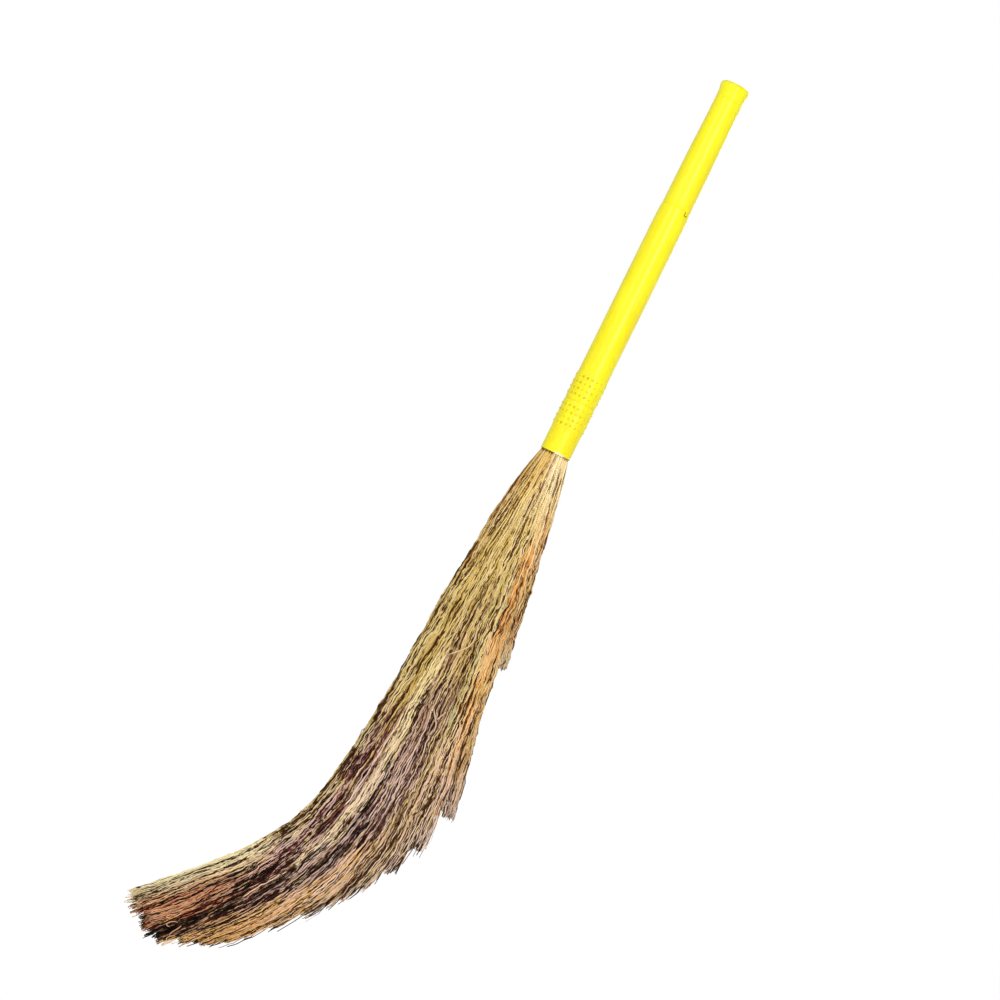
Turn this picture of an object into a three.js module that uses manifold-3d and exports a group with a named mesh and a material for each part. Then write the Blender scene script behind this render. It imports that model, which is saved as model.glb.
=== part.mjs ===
// A soft grass broom: a two-piece plastic handle with an end cap, and a head of dried grass.
// Millimetres, +Z up. The handle stands upright on the Z axis and the grass hangs below it, swept to -X.
// The origin is on the handle's axis, at the groove between the two bands of nubs, where a hand holds it.

import * as THREE from "three";
import { mergeVertices } from "three/addons/utils/BufferGeometryUtils.js";
import Module from "manifold-3d";

const wasm = await Module();
wasm.setup();

// Fits and cuts
const fitGap = 0.3;
const bunchGap = 0.3;
const cutOverrun = 5;

// Grip sleeve, with heights measured up from its mouth
const sleeveLength = 301;
const sleeveRadius = 17.6;
const sleeveWall = 1.6;
const mouthChamfer = 0.6;
const lipLength = 11;
const lipRadius = 16.95;
const grooveHeight = 62;
const grooveWidth = 1.6;
const grooveDepth = 0.55;
const bandRadius = 18.05;
const bandMargin = 3.4;
const bandChamfer = 0.9;
const sleeveFacets = 40;

// Nubs of the grip, in rows along the sleeve
const nubsAround = 20;
const rowsPerBand = 4;
const rowPitch = 7;
const nubRadius = 1.15;
const nubHeight = 0.6;
const nubRoot = 0.15;
const nubSides = 6;

// Notch in the sleeve's rim and the tube's key in it
const notchWidth = 7;
const notchDepth = 5;
const notchAngle = THREE.MathUtils.degToRad(-39);
const keyStep = 0.45;

// Upper tube
const tubeLength = 132;
const tubeShoulderRadius = 16.65;
const tubeTopRadius = 15.5;
const tubeWall = 1.5;
const spigotLength = 42;
const spigotChamfer = 0.8;
const taperShares = [
  [0, 0],
  [0.35, 0.14],
  [0.55, 0.38],
  [0.7, 0.74],
  [0.82, 1],
  [1, 1],
];

// End cap
const capHeight = 20;
const capFlareRadius = 16.9;
const capFlatRadius = 9.3;
const capFlareHeight = 13;
const capWaistHeight = 4;
const capPlugLength = 24;
const capWall = 1.7;
const capRoof = 3;
const domeShares = [
  [1, 0],
  [0.97, 0.42],
  [0.72, 0.72],
  [0.36, 0.93],
  [0, 1],
];

// Stalk butts packed inside the sleeve, and the wire round them
const stalkLength = 225;
const boundRadius = 14.2;
const boundHeight = 30;
const wireRadius = 0.5;
const wireTurns = 2;
const wirePitch = 2.4;
const wireTail = 1;
const lowerBindingHeight = 48;
const upperBindingHeight = 190;
const loopSteps = 24;
const wireSides = 6;

// Grass head, measured along its middle line from the mouth
const headLength = 750;
const bendStart = 340;
const bendEnd = 688;
const leanAngle = THREE.MathUtils.degToRad(0.68);
const sweepAngle = THREE.MathUtils.degToRad(45);
const headHalfWidth = 76.8;
const widthReach = 281;
const headHalfDepth = 27;
const depthReach = 150;
const tipDepthShare = 0.6;
const strayShare = 0.72;
const strayPower = 4;
const middleLineSteps = 150;

// Strands of one bunch: rows of triangles, and how much of its tile a strand fills at each knot
const strandRows = 9;
const bareRows = 2;
const knotShares = [0, 0.16, 0.48, 0.63, 0.77, 1];
const fillShares = [1, 0.74, 0.78, 0.82, 0.8, 0.6];

// The fan: places across the mouth, and how far across the head the grass from there is at each knot
const fanRootShares = [-1, -0.85, -0.65, -0.4, -0.15, 0.1, 0.2, 0.35, 0.5, 0.6, 0.7, 1];
const fanShares = [
  fanRootShares,
  [-1, -0.85, -0.66, -0.42, -0.17, 0.11, 0.24, 0.42, 0.59, 0.69, 0.78, 1],
  [-1, -0.88, -0.77, -0.54, -0.25, 0.12, 0.29, 0.59, 0.88, 1.08, 1.12, 1.18],
  [-1.02, -0.9, -0.77, -0.53, -0.22, 0.19, 0.41, 0.75, 1.07, 1.44, 1.52, 1.6],
  [-1.02, -0.84, -0.65, -0.4, -0.09, 0.28, 0.49, 0.84, 1.15, 1.45, 1.55, 1.65],
  [-1.04, -0.78, -0.46, -0.16, 0.09, 0.38, 0.58, 0.9, 1.2, 1.5, 1.6, 1.7],
];

// The trim: places across the mouth, and how much shorter than the head the grass from there is cut
const trimRootShares = [
  -1, -0.85, -0.65, -0.4, -0.15, 0, 0.1, 0.15, 0.2, 0.28, 0.35, 0.49, 0.5, 0.66, 0.67, 1,
];
const trimCutBacks = [0, 0, 4, 13, 38, 68, 112, 166, 208, 240, 268, 304, 342, 342, 512, 516];

// Places that follow from the sizes above
const mouthZ = -grooveHeight;
const rimZ = mouthZ + sleeveLength;
const capSeatZ = rimZ + tubeLength;
const boreRadius = sleeveRadius - sleeveWall;
const spigotRadius = boreRadius - fitGap;
const tubeBoreRadius = tubeTopRadius - tubeWall;
const spigotBoreRadius = spigotRadius - tubeWall;
const packedRadius = boreRadius - fitGap;
const wireLineRadius = (boundRadius + boreRadius) / 2;
const bandHalfHeight = rowPitch * rowsPerBand + bandMargin;

const yellow = { color: 0xf7ea1c, roughness: 0.42, metalness: 0 };
const straw = { color: 0xb9a45a, roughness: 0.85, metalness: 0 };
const rustStraw = { color: 0xb5803c, roughness: 0.85, metalness: 0 };
const wine = { color: 0x7b5148, roughness: 0.85, metalness: 0 };
const paleStraw = { color: 0xcbb877, roughness: 0.85, metalness: 0 };
const steelWire = { color: 0x9a9a98, roughness: 0.45, metalness: 0.9 };

function namedMesh(name, geometry, finish) {
  const mesh = new THREE.Mesh(geometry, new THREE.MeshStandardMaterial(finish));
  mesh.name = name;
  return mesh;
}

// A solid of manifold-3d from a closed geometry.
function solidOf(geometry) {
  const bare = geometry.clone();
  bare.deleteAttribute("normal");
  bare.deleteAttribute("uv");
  const merged = mergeVertices(bare, 1e-4);
  return new wasm.Manifold(
    new wasm.Mesh({
      numProp: 3,
      vertProperties: new Float32Array(merged.attributes.position.array),
      triVerts: new Uint32Array(merged.index.array),
    }),
  );
}

function geometryOf(solid) {
  const mesh = solid.getMesh();
  const geometry = new THREE.BufferGeometry();
  geometry.setAttribute("position", new THREE.BufferAttribute(mesh.vertProperties, mesh.numProp));
  geometry.setIndex(new THREE.BufferAttribute(mesh.triVerts, 1));
  return geometry;
}

// A closed profile of [radius, height] pairs, anticlockwise seen with the axis at the left, turned round Z.
function turned(profile) {
  const points = profile.map(([radius, height]) => new THREE.Vector2(radius, height));
  points.push(points[0].clone());
  return new THREE.LatheGeometry(points, sleeveFacets).rotateX(Math.PI / 2);
}

// A sector of a ring round Z, for the notch and the key.
function ringSector(innerRadius, outerRadius, width, height) {
  const halfAngle = width / (innerRadius + outerRadius);
  const shape = new THREE.Shape();
  shape.absarc(0, 0, outerRadius, notchAngle - halfAngle, notchAngle + halfAngle, false);
  shape.absarc(0, 0, innerRadius, notchAngle + halfAngle, notchAngle - halfAngle, true);
  return new THREE.ExtrudeGeometry(shape, { depth: height, bevelEnabled: false, curveSegments: 4 });
}

// Outline of the sleeve's outside between the band's lower and upper edge, groove included.
function bandProfile() {
  const low = grooveHeight - bandHalfHeight;
  const high = grooveHeight + bandHalfHeight;
  const floorRadius = bandRadius - grooveDepth;
  return [
    [sleeveRadius, low - bandChamfer],
    [bandRadius, low],
    [bandRadius, grooveHeight - grooveWidth],
    [floorRadius, grooveHeight - grooveWidth / 2],
    [floorRadius, grooveHeight + grooveWidth / 2],
    [bandRadius, grooveHeight + grooveWidth],
    [bandRadius, high],
    [sleeveRadius, high + bandChamfer],
  ];
}

// One row of cone-shaped nubs, rooted a little way inside the wall.
function nubRow(height) {
  const facetRadius = bandRadius * Math.cos(Math.PI / sleeveFacets);
  const reach = nubHeight + nubRoot;
  const rootRadius = (nubRadius * reach) / nubHeight;
  const nubs = [];
  for (let place = 0; place < nubsAround; place++) {
    const nub = new THREE.ConeGeometry(rootRadius, reach, nubSides);
    nub.translate(0, facetRadius - nubRoot + reach / 2, 0);
    nub.rotateZ(((2 * place + 0.5) * Math.PI) / nubsAround);
    nub.translate(0, 0, height);
    nubs.push(solidOf(nub));
  }
  return nubs;
}

function gripSleeve() {
  const tube = solidOf(
    turned([
      [boreRadius, 0],
      [sleeveRadius - mouthChamfer, 0],
      [sleeveRadius, mouthChamfer],
      ...bandProfile(),
      [sleeveRadius, sleeveLength - lipLength],
      [lipRadius, sleeveLength],
      [boreRadius, sleeveLength],
    ]),
  );
  const notchHeight = notchDepth + cutOverrun;
  const notch = ringSector(boreRadius - cutOverrun, sleeveRadius + cutOverrun, notchWidth, notchHeight);
  notch.translate(0, 0, sleeveLength - notchDepth);
  let sleeve = tube.subtract(solidOf(notch));
  for (let row = 1; row <= rowsPerBand; row++) {
    for (const side of [-1, 1]) {
      for (const nub of nubRow(grooveHeight + side * row * rowPitch)) {
        sleeve = sleeve.add(nub);
      }
    }
  }
  return geometryOf(sleeve).translate(0, 0, mouthZ);
}

// The tube's outside above its shoulder, which narrows towards the cap.
function tubeTaper() {
  return taperShares.map(([heightShare, taperShare]) => [
    tubeShoulderRadius + (tubeTopRadius - tubeShoulderRadius) * taperShare,
    tubeLength * heightShare,
  ]);
}

function upperTube() {
  const body = solidOf(
    turned([
      [spigotBoreRadius, -spigotLength],
      [spigotRadius - spigotChamfer, -spigotLength],
      [spigotRadius, spigotChamfer - spigotLength],
      [spigotRadius, 0],
      ...tubeTaper(),
      [tubeBoreRadius, tubeLength],
      [tubeBoreRadius, 0],
    ]),
  );
  const keyHeight = notchDepth - fitGap;
  const keyRadius = lipRadius - keyStep;
  const keyWidth = notchWidth - 2 * fitGap;
  const key = ringSector(spigotBoreRadius + tubeWall / 2, keyRadius, keyWidth, keyHeight + keyStep);
  key.translate(0, 0, -keyHeight);
  return geometryOf(body.add(solidOf(key))).translate(0, 0, rimZ);
}

function capDome() {
  const dropHeight = capHeight - capFlareHeight;
  return domeShares.map(([radiusShare, heightShare]) => [
    capFlatRadius + (capFlareRadius - capFlatRadius) * radiusShare,
    capFlareHeight + dropHeight * heightShare,
  ]);
}

function endCap() {
  const plugRadius = tubeBoreRadius - fitGap;
  const profile = [
    [0, capHeight - capRoof],
    [plugRadius - capWall, capHeight - capRoof],
    [plugRadius - capWall, -capPlugLength],
    [plugRadius, -capPlugLength],
    [plugRadius, 0],
    [tubeTopRadius, 0],
    [tubeTopRadius, capWaistHeight],
    ...capDome(),
    [0, capHeight],
  ];
  return turned(profile).translate(0, 0, capSeatZ);
}

// How far the head's middle line has turned from straight down, at a distance along it.
function bendAngle(along) {
  const share = THREE.MathUtils.smoothstep(along, bendStart, bendEnd);
  return (sweepAngle + leanAngle) * share - leanAngle;
}

function middlePoint(along) {
  const step = along / middleLineSteps;
  const point = new THREE.Vector3(0, 0, mouthZ);
  for (let count = 0; count < middleLineSteps; count++) {
    const angle = bendAngle((count + 0.5) * step);
    point.x -= Math.sin(angle) * step;
    point.z -= Math.cos(angle) * step;
  }
  return point;
}

function halfWidth(along) {
  return packedRadius + (headHalfWidth - packedRadius) * (1 - Math.exp(-along / widthReach));
}

function halfDepth(along) {
  const swelling = packedRadius + (headHalfDepth - packedRadius) * (1 - Math.exp(-along / depthReach));
  const share = THREE.MathUtils.smoothstep(along, bendStart, headLength);
  return swelling * (1 + (tipDepthShare - 1) * share);
}

// A value read from a table of places and values, straight between two neighbours.
function readTable(places, values, place) {
  const next = places.findIndex((entry) => entry >= place);
  if (next === -1) return values[values.length - 1];
  if (next === 0) return values[0];
  const share = (place - places[next - 1]) / (places[next] - places[next - 1]);
  return THREE.MathUtils.lerp(values[next - 1], values[next], share);
}

const knots = knotShares.map((share, index) => {
  const along = share * headLength;
  return {
    along,
    middle: middlePoint(along),
    angle: bendAngle(along),
    fill: fillShares[index],
    fan: fanShares[index],
  };
});

// A point of the head at a knot, with its shares of the half width and of the half depth there.
function atKnot(knot, across, deep) {
  const sideways = halfWidth(knot.along) * across;
  return new THREE.Vector3(
    knot.middle.x + Math.cos(knot.angle) * sideways,
    halfDepth(knot.along) * deep,
    knot.middle.z - Math.sin(knot.angle) * sideways,
  );
}

// An even scatter between 0 and 1 that is the same each time.
function scatter(number) {
  const value = Math.sin(number * 12.9898) * 43758.5453;
  return value - Math.floor(value);
}

// Length of a strand: it is cut by the trim, and some strands are stray short ones.
function strandLength(across, number) {
  const trimmed = headLength - readTable(trimRootShares, trimCutBacks, across);
  return trimmed * (1 - strayShare * scatter(number) ** strayPower);
}

// Corners of one strand's section at every knot it reaches, and at its end. The fan moves the corners of
// the strand's tile sideways, and the strand is drawn in from them to the tile's middle.
function strandRings(corners, length) {
  const deep = (corners[0][1] + corners[1][1] + corners[2][1]) / 3;
  const ringAt = (knot) => {
    const fanned = corners.map((corner) => readTable(fanRootShares, knot.fan, corner[0]));
    const across = (fanned[0] + fanned[1] + fanned[2]) / 3;
    return corners.map((corner, place) =>
      atKnot(
        knot,
        THREE.MathUtils.lerp(across, fanned[place], knot.fill),
        THREE.MathUtils.lerp(deep, corner[1], knot.fill),
      ),
    );
  };
  const rings = [];
  for (let index = 1; index < knots.length; index++) {
    const [before, after] = [knots[index - 1], knots[index]];
    if (length <= before.along) break;
    const share = Math.min(1, (length - before.along) / (after.along - before.along));
    const [from, to] = [ringAt(before), ringAt(after)];
    rings.push(from.map((point, corner) => point.clone().lerp(to[corner], share)));
  }
  return rings;
}

// One bunch: a quarter of the packed stalks, tiled on its lower face by the roots of its strands.
function grassBunch(quarter) {
  const vertices = [];
  const faces = [];
  const addVertex = (point) => vertices.push(point.x, point.y, point.z) / 3 - 1;
  const middleAngle = (quarter * Math.PI) / 2;
  const shift = bunchGap / Math.SQRT2;
  const place = (row, step, radius) => {
    const angle = middleAngle + ((row ? step / row : 0) - 0.5) * (Math.PI / 2);
    const reach = ((radius - shift) * row) / strandRows;
    return [
      reach * Math.cos(angle) + shift * Math.cos(middleAngle),
      reach * Math.sin(angle) + shift * Math.sin(middleAngle),
    ];
  };

  const roots = [];
  for (let row = 0; row <= strandRows; row++) {
    roots.push([]);
    for (let step = 0; step <= row; step++) {
      const [x, y] = place(row, step, packedRadius);
      const share = [x / packedRadius, y / packedRadius];
      roots[row].push({ index: addVertex({ x, y, z: mouthZ }), share });
    }
  }

  const addBareTile = (tile) => faces.push(tile[0].index, tile[2].index, tile[1].index);
  const addStrand = (tile, number) => {
    const across = (tile[0].share[0] + tile[1].share[0] + tile[2].share[0]) / 3;
    const length = strandLength(across, number);
    const corners = tile.map((root) => root.share);
    let upper = tile.map((root) => root.index);
    for (const ring of strandRings(corners, length)) {
      const lower = ring.map(addVertex);
      for (let side = 0; side < 3; side++) {
        const next = (side + 1) % 3;
        // Two neighbours split the side between them from the same corner, so they can't cross
        if (tile[side].index < tile[next].index) {
          faces.push(upper[side], lower[side], lower[next], upper[side], lower[next], upper[next]);
        } else {
          faces.push(upper[side], lower[side], upper[next], upper[next], lower[side], lower[next]);
        }
      }
      upper = lower;
    }
    faces.push(upper[0], upper[2], upper[1]);
  };
  let number = quarter * strandRows ** 2;
  for (let row = 0; row < strandRows; row++) {
    const add = row < bareRows ? addBareTile : addStrand;
    for (let step = 0; step <= row; step++) {
      add([roots[row][step], roots[row + 1][step], roots[row + 1][step + 1]], ++number);
      if (step < row) add([roots[row][step], roots[row + 1][step + 1], roots[row][step + 1]], ++number);
    }
  }

  const rim = [];
  for (let row = 0; row < strandRows; row++) rim.push([row, 0]);
  for (let step = 0; step < strandRows; step++) rim.push([strandRows, step]);
  for (let row = strandRows; row > 0; row--) rim.push([row, row]);
  let lower = rim.map(([row, step]) => roots[row][step].index);
  for (const height of [boundHeight, stalkLength]) {
    const upper = rim.map(([row, step]) => {
      const [x, y] = place(row, step, boundRadius);
      return addVertex({ x, y, z: mouthZ + height });
    });
    for (let side = 0; side < rim.length; side++) {
      const next = (side + 1) % rim.length;
      faces.push(lower[side], lower[next], upper[next], lower[side], upper[next], upper[side]);
    }
    lower = upper;
  }
  const outline = rim.map(([row, step]) => new THREE.Vector2(...place(row, step, boundRadius)));
  for (const [a, b, c] of THREE.ShapeUtils.triangulateShape(outline, [])) {
    faces.push(lower[a], lower[b], lower[c]);
  }

  const geometry = new THREE.BufferGeometry();
  geometry.setAttribute("position", new THREE.Float32BufferAttribute(vertices, 3));
  geometry.setIndex(faces);
  return geometry;
}

// Turns of wire round the stalks, with a short straight tail at each end.
class WindingLine extends THREE.Curve {
  getPoint(share) {
    const turnLength = Math.hypot(2 * Math.PI * wireLineRadius, wirePitch);
    const total = turnLength * wireTurns + 2 * wireTail;
    const along = share * total - wireTail;
    const wound = THREE.MathUtils.clamp(along, 0, turnLength * wireTurns);
    const angle = (wound / turnLength) * 2 * Math.PI;
    const rise = (wound / turnLength - wireTurns / 2) * wirePitch;
    const beyond = along - wound;
    return new THREE.Vector3(
      wireLineRadius * Math.cos(angle) - beyond * Math.sin(angle),
      wireLineRadius * Math.sin(angle) + beyond * Math.cos(angle),
      rise,
    );
  }
}

function leastSelfGap(points) {
  let least = Infinity;
  for (let a = 0; a < points.length; a++) {
    for (let b = a + loopSteps / 2; b < points.length; b++) {
      least = Math.min(least, points[a].distanceTo(points[b]));
    }
  }
  return least - 2 * wireRadius;
}

function binding(height) {
  const line = new WindingLine();
  const steps = loopSteps * wireTurns + 2;
  const section = new THREE.Shape();
  section.absarc(0, 0, wireRadius, 0, 2 * Math.PI, false);
  console.log("least gap between turns of wire, mm:", leastSelfGap(line.getSpacedPoints(steps)).toFixed(2));
  const sweep = { steps, extrudePath: line, curveSegments: wireSides / 2 };
  const wire = new THREE.ExtrudeGeometry(section, sweep);
  return wire.translate(0, 0, mouthZ + height);
}

const broom = new THREE.Group();
broom.add(
  namedMesh("end_cap", endCap(), yellow),
  namedMesh("upper_tube", upperTube(), yellow),
  namedMesh("grip_sleeve", gripSleeve(), yellow),
  namedMesh("grass_bunch_right", grassBunch(0), rustStraw),
  namedMesh("grass_bunch_back", grassBunch(1), wine),
  namedMesh("grass_bunch_left", grassBunch(2), paleStraw),
  namedMesh("grass_bunch_front", grassBunch(3), straw),
  namedMesh("lower_binding", binding(lowerBindingHeight), steelWire),
  namedMesh("upper_binding", binding(upperBindingHeight), steelWire),
);

export default broom;
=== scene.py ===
# Looks of a soft grass broom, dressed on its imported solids. Metres, +Z up, in the same frame.

import math

import bmesh
import bpy
import numpy as np
from mathutils import Matrix, Vector


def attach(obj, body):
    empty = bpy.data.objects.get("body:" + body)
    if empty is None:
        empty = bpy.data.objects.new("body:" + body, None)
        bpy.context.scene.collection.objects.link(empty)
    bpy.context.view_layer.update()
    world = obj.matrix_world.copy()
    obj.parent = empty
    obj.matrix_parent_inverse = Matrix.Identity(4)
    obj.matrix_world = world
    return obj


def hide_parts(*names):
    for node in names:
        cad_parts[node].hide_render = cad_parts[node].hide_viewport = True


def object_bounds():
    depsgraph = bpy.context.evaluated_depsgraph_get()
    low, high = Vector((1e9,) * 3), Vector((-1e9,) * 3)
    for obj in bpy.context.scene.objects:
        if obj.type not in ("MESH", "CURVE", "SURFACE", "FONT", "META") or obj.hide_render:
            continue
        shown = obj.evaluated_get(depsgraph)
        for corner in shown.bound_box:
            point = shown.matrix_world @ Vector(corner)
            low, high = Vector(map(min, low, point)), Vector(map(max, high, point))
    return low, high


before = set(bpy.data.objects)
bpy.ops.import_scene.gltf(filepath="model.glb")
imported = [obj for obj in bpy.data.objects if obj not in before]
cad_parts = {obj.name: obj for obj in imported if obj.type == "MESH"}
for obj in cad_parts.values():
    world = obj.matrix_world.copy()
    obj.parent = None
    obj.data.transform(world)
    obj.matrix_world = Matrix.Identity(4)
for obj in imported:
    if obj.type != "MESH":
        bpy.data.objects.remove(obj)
solid_low, solid_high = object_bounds()

# Camera: it is turned about its line of sight, because the broom leans in the photograph
CAMERA_PLACE = (-0.0319, -4.003, -0.1341)
CAMERA_RIGHT = (0.897, 0, 0.442)
CAMERA_BACK = (0, -1, 0)
LENS = 131
SENSOR = 36
SIGHT = 60

# Studio: a white sky that shines less on the broom than it shows, a white floor and three lamps
SKY_SHINES = 0.44
SKY_SHOWS = 1
FLOOR_SIZE = 14
FLOOR_DROP = 0.001
FLOOR_WHITE = 0.86
FLOOR_ROUGHNESS = 0.9
FLOOR_GLOW = 1.04
FLOOR_GLOW_SHARE = 0.93
LAMPS = [
    # name, place, what it shines at, width, height and power
    ("key_lamp", (1.15, -3.5, 0.9), (0, 0, 0), 0.7, 2.6, 70),
    ("left_lamp", (-1.9, -3.1, 1.2), (-0.05, 0, -0.2), 0.8, 1.6, 36),
    ("back_lamp", (0.6, 3.4, 1.4), (0, 0, -0.1), 1.6, 2.0, 50),
]

# Handle: heights of its joints, and the sizes of its mouldings
MOUTH = -0.062
RIM = 0.239
CAP_SEAT = 0.371
TOP = 0.391
SLEEVE_RADIUS = 0.0176
BORE_RADIUS = 0.016
LIP_RADIUS = 0.01695
LIP_LENGTH = 0.011
BAND_RADIUS = 0.01805
BAND_HALF_HEIGHT = 0.0314
BAND_CHAMFER = 0.0009
GROOVE_HALF_WIDTH = 0.0008
GROOVE_DEPTH = 0.00055
NUB_PITCH = 0.007
NUB_ROWS = 4
NUB_HALF_HEIGHT = 0.0014
NUB_STEP = math.radians(18)
NUB_TURN = math.radians(4.5)
NUB_TOLERANCE = math.radians(1)
# Insets that raise a nub from its face: its foot, its side and its dome, as thickness and height
NUB_INSETS = ((0.00016, 0), (0.00024, 0.00042), (0.0004, 0.0003))
SLEEVE_COLUMNS = 40
# A ring this close to an edge keeps the edge crisp when the sleeve is smoothed
HOLD = 0.0008
NOTCH_ANGLE = math.radians(-39)
NOTCH_DEPTH = 0.005
NOTCH_WIDTH = 0.007
NOTCH_ROUNDING = 0.0006
NOTCH_REACH = (0.012, 0.022)
KEY_WIDTH = 0.0044
KEY_SHORTER = 0.0013
KEY_ROOT = 0.002
KEY_ROUNDING = 0.0005
KEY_REACH = (0.0149, 0.0166)
KEY_ASIDE = 0.0011
TUBE_CORNERS = 96
TUBE_TOP_RADIUS = 0.0155
TUBE_SHOULDER_RADIUS = 0.01665
SPIGOT_RADIUS = 0.0157
SPIGOT_LENGTH = 0.042
SPIGOT_CHAMFER = 0.0008
TUBE_WALL = 0.0015
TUBE_BANDS = 24
SEAT_GAP = 0.00002
PLUG_GAP = 0.0003
PLUG_LENGTH = 0.024
CAP_WALL = 0.0017
CAP_ROOF = 0.003
SMOOTH_ANGLE = math.radians(38)
SHARP_ANGLE = math.radians(32)

# Outline of the cap's head, as radii and heights over its seat
CAP_OUTLINE = [
    *((0.0155, 0.0035), (0.01556, 0.0052), (0.0158, 0.0075), (0.0162, 0.0098), (0.01662, 0.0118)),
    *((0.01686, 0.0132), (0.01688, 0.0146), (0.0166, 0.0159), (0.0159, 0.0172), (0.0147, 0.0183)),
    *((0.0131, 0.0191), (0.0113, 0.0196), (0.0093, 0.0199), (0.0060, 0.0200), (0.0016, 0.0200)),
    (0.0013, 0.0198),
]

# Grass: the line that the head follows, and how wide and deep it grows
PACKED_RADIUS = 0.0157
BOUND_RADIUS = 0.0136
STALK_TOP = MOUTH + 0.222
HEAD_LENGTH = 0.75
BEND_START = 0.34
BEND_END = 0.688
LEAN = math.radians(0.68)
SWEEP = math.radians(45)
HALF_WIDTH = 0.0768
WIDTH_REACH = 0.281
HALF_DEPTH = 0.027
DEPTH_REACH = 0.15
TIP_DEPTH_SHARE = 0.6

# Stalks and the hairs that branch from them
STALKS_IN_TUFT = 5
STALK_SIDES = 5
STALK_START = 0.004
STALK_STEP = 0.009
STALK_KINK = 0.0003
STALK_WAVE = 0.0007
DARKEST_STALK = 0.42
HAIR_SIDES = 3
HAIR_KINK = 0.00028
OUTSIDE_REACH = 0.8
OUTER_STEP = 0.005
INNER_STEP = 0.0095
LEAVE_LENGTH = 0.12
TURN_BACK = 0.42
OUTLASTS = 0.1
SHORT_HAIRS = 0.1
LONG_SLIP = 0.021
LONG_HAIR = 1.011
STRAY_STEPS = 28

chance = np.random.default_rng(20)
shake = np.random.default_rng(4)


# Camera, lights and floor


def set_camera():
    data = bpy.data.cameras.new("camera")
    data.lens = LENS
    data.sensor_width = SENSOR
    data.clip_end = SIGHT
    camera = bpy.data.objects.new("camera", data)
    bpy.context.scene.collection.objects.link(camera)
    right = Vector(CAMERA_RIGHT).normalized()
    back = Vector(CAMERA_BACK)
    turn = Matrix((right, back.cross(right), back)).transposed()
    camera.matrix_world = Matrix.Translation(CAMERA_PLACE) @ turn.to_4x4()
    bpy.context.scene.camera = camera


def soft_lamp(name, place, aim, width, height, power):
    data = bpy.data.lights.new(name, "AREA")
    data.shape = "RECTANGLE"
    data.size = width
    data.size_y = height
    data.energy = power
    lamp = bpy.data.objects.new(name, data)
    bpy.context.scene.collection.objects.link(lamp)
    lamp.location = place
    lamp.rotation_euler = (Vector(aim) - Vector(place)).to_track_quat("-Z", "Y").to_euler()


def seen_directly(nodes, links):
    """1 for rays from the camera, and for rays that come by a mirror or through glass."""
    path = nodes.new("ShaderNodeLightPath")
    seen = path.outputs["Is Camera Ray"]
    for kind in ("Is Glossy Ray", "Is Transmission Ray"):
        either = nodes.new("ShaderNodeMath")
        either.operation = "MAXIMUM"
        links.new(seen, either.inputs[0])
        links.new(path.outputs[kind], either.inputs[1])
        seen = either.outputs[0]
    return seen


def set_studio():
    world = bpy.data.worlds.new("studio")
    world.use_nodes = True
    bpy.context.scene.world = world
    nodes, links = world.node_tree.nodes, world.node_tree.links
    sky = nodes["Background"]
    sky.inputs["Color"].default_value = (1, 1, 1, 1)
    strength = nodes.new("ShaderNodeMapRange")
    strength.inputs["To Min"].default_value = SKY_SHINES
    strength.inputs["To Max"].default_value = SKY_SHOWS
    links.new(seen_directly(nodes, links), strength.inputs["Value"])
    links.new(strength.outputs[0], sky.inputs["Strength"])

    bpy.context.scene.view_settings.view_transform = "Standard"
    for lamp in LAMPS:
        soft_lamp(*lamp)

    bpy.ops.mesh.primitive_plane_add(size=FLOOR_SIZE, location=(0, 0, solid_low.z - FLOOR_DROP))
    floor = bpy.context.object
    floor.name = "floor"
    bpy.ops.object.transform_apply(location=True, rotation=True, scale=True)
    paint = bpy.data.materials.new("white_floor")
    paint.use_nodes = True
    nodes, links = paint.node_tree.nodes, paint.node_tree.links
    shader = nodes["Principled BSDF"]
    shader.inputs["Base Color"].default_value = (FLOOR_WHITE, FLOOR_WHITE, FLOOR_WHITE, 1)
    shader.inputs["Roughness"].default_value = FLOOR_ROUGHNESS
    glow = nodes.new("ShaderNodeEmission")
    glow.inputs["Color"].default_value = (1, 1, 1, 1)
    glow.inputs["Strength"].default_value = FLOOR_GLOW
    blend = nodes.new("ShaderNodeMixShader")
    share = nodes.new("ShaderNodeMath")
    share.operation = "MULTIPLY"
    share.inputs[1].default_value = FLOOR_GLOW_SHARE
    links.new(seen_directly(nodes, links), share.inputs[0])
    links.new(share.outputs[0], blend.inputs["Fac"])
    links.new(shader.outputs[0], blend.inputs[1])
    links.new(glow.outputs[0], blend.inputs[2])
    links.new(blend.outputs[0], nodes["Material Output"].inputs["Surface"])
    floor.data.materials.append(paint)


# Finishes


def shade(red, green, blue):
    """A colour written as 0 to 255 on screen, as the shader wants it."""
    parts = [c / 255 for c in (red, green, blue)]
    return [c / 12.92 if c <= 0.04045 else ((c + 0.055) / 1.055) ** 2.4 for c in parts] + [1]


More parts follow.
